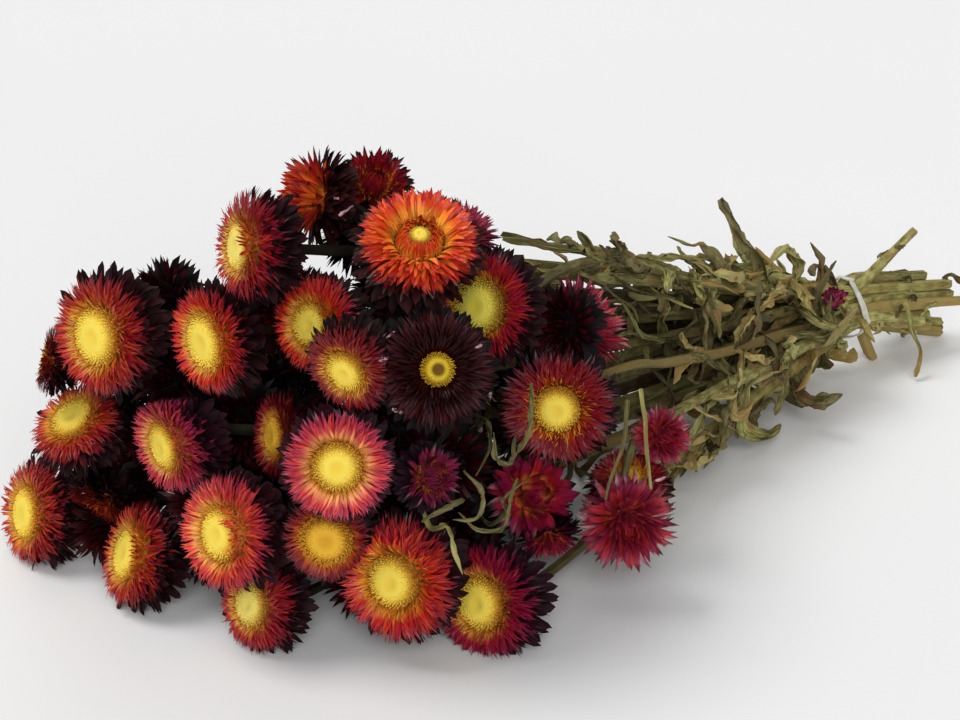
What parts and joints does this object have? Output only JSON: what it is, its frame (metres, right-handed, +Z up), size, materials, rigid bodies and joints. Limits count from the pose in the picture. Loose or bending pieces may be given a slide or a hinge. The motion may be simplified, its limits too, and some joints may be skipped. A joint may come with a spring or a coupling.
{
  "type": "dried strawflower bunch",
  "caption": "Tied bunch of dried strawflowers lying on its side: papery red blooms with yellow discs, leafy dried stems and an elastic tie band.",
  "frame": {"origin": "on the surface that the bunch lies on, under the middle of its box", "axes": "+X along the bunch towards the cut stem ends, +Y across it, +Z up from the surface"},
  "size_m": [0.3974, 0.1948, 0.1554],
  "materials": {
    "leafy_stems": "matt, dry",
    "tie_band": "satin",
    "bloom_01": "matt, dry",
    "disc_01": "matt, dry",
    "bloom_02": "matt, dry",
    "bloom_03": "matt, dry",
    "bloom_04": "matt, dry",
    "bloom_05": "matt, dry",
    "bloom_06": "matt, dry",
    "disc_06": "matt, dry",
    "bloom_07": "matt, dry",
    "bloom_08": "matt, dry",
    "disc_08": "matt, dry",
    "bloom_09": "matt, dry",
    "disc_09": "matt, dry",
    "bloom_10": "matt, dry",
    "bloom_11": "matt, dry",
    "bloom_12": "matt, dry",
    "disc_12": "matt, dry",
    "bloom_13": "matt, dry",
    "disc_13": "matt, dry",
    "bloom_14": "matt, dry",
    "bloom_15": "matt, dry",
    "disc_15": "matt, dry",
    "bloom_16": "matt, dry",
    "bloom_17": "matt, dry",
    "bloom_18": "matt, dry",
    "bloom_19": "matt, dry",
    "bloom_20": "matt, dry",
    "bloom_21": "matt, dry",
    "bloom_22": "matt, dry",
    "bloom_23": "matt, dry",
    "bloom_24": "matt, dry",
    "bloom_25": "matt, dry",
    "bloom_26": "matt, dry",
    "bloom_27": "matt, dry",
    "bloom_28": "matt, dry",
    "bloom_29": "matt, dry",
    "bloom_30": "matt, dry",
    "bloom_31": "matt, dry",
    "bloom_32": "matt, dry",
    "bloom_33": "matt, dry",
    "bloom_34": "matt, dry",
    "bloom_35": "matt, dry",
    "bloom_36": "matt, dry",
    "bloom_37": "matt, dry",
    "bloom_38": "matt, dry",
    "bloom_39": "matt, dry",
    "bloom_40": "matt, dry",
    "bloom_41": "matt, dry",
    "bloom_42": "matt, dry",
    "bloom_43": "matt, dry",
    "bloom_44": "matt, dry",
    "bloom_45": "matt, dry",
    "bloom_46": "matt, dry",
    "bloom_47": "matt, dry",
    "bloom_48": "matt, dry",
    "bloom_49": "matt, dry",
    "bloom_50": "matt, dry",
    "bud_by_tie": "matt, dry"
  },
  "bodies": {
    "root": {"leafy_stems": "leafy_stems", "tie_band": "tie_band", "bloom_01": "bloom_01", "disc_01": "disc_01", "bloom_02": "bloom_02", "bloom_03": "bloom_03", "bloom_04": "bloom_04", "bloom_05": "bloom_05", "bloom_06": "bloom_06", "disc_06": "disc_06", "bloom_07": "bloom_07", "bloom_08": "bloom_08", "disc_08": "disc_08", "bloom_09": "bloom_09", "disc_09": "disc_09", "bloom_10": "bloom_10", "bloom_11": "bloom_11", "bloom_12": "bloom_12", "disc_12": "disc_12", "bloom_13": "bloom_13", "disc_13": "disc_13", "bloom_14": "bloom_14", "bloom_15": "bloom_15", "disc_15": "disc_15", "bloom_16": "bloom_16", "bloom_17": "bloom_17", "bloom_18": "bloom_18", "bloom_19": "bloom_19", "bloom_20": "bloom_20", "bloom_21": "bloom_21", "bloom_22": "bloom_22", "bloom_23": "bloom_23", "bloom_24": "bloom_24", "bloom_25": "bloom_25", "bloom_26": "bloom_26", "bloom_27": "bloom_27", "bloom_28": "bloom_28", "bloom_29": "bloom_29", "bloom_30": "bloom_30", "bloom_31": "bloom_31", "bloom_32": "bloom_32", "bloom_33": "bloom_33", "bloom_34": "bloom_34", "bloom_35": "bloom_35", "bloom_36": "bloom_36", "bloom_37": "bloom_37", "bloom_38": "bloom_38", "bloom_39": "bloom_39", "bloom_40": "bloom_40", "bloom_41": "bloom_41", "bloom_42": "bloom_42", "bloom_43": "bloom_43", "bloom_44": "bloom_44", "bloom_45": "bloom_45", "bloom_46": "bloom_46", "bloom_47": "bloom_47", "bloom_48": "bloom_48", "bloom_49": "bloom_49", "bloom_50": "bloom_50", "bud_by_tie": "bud_by_tie"}
  },
  "joints": []
}
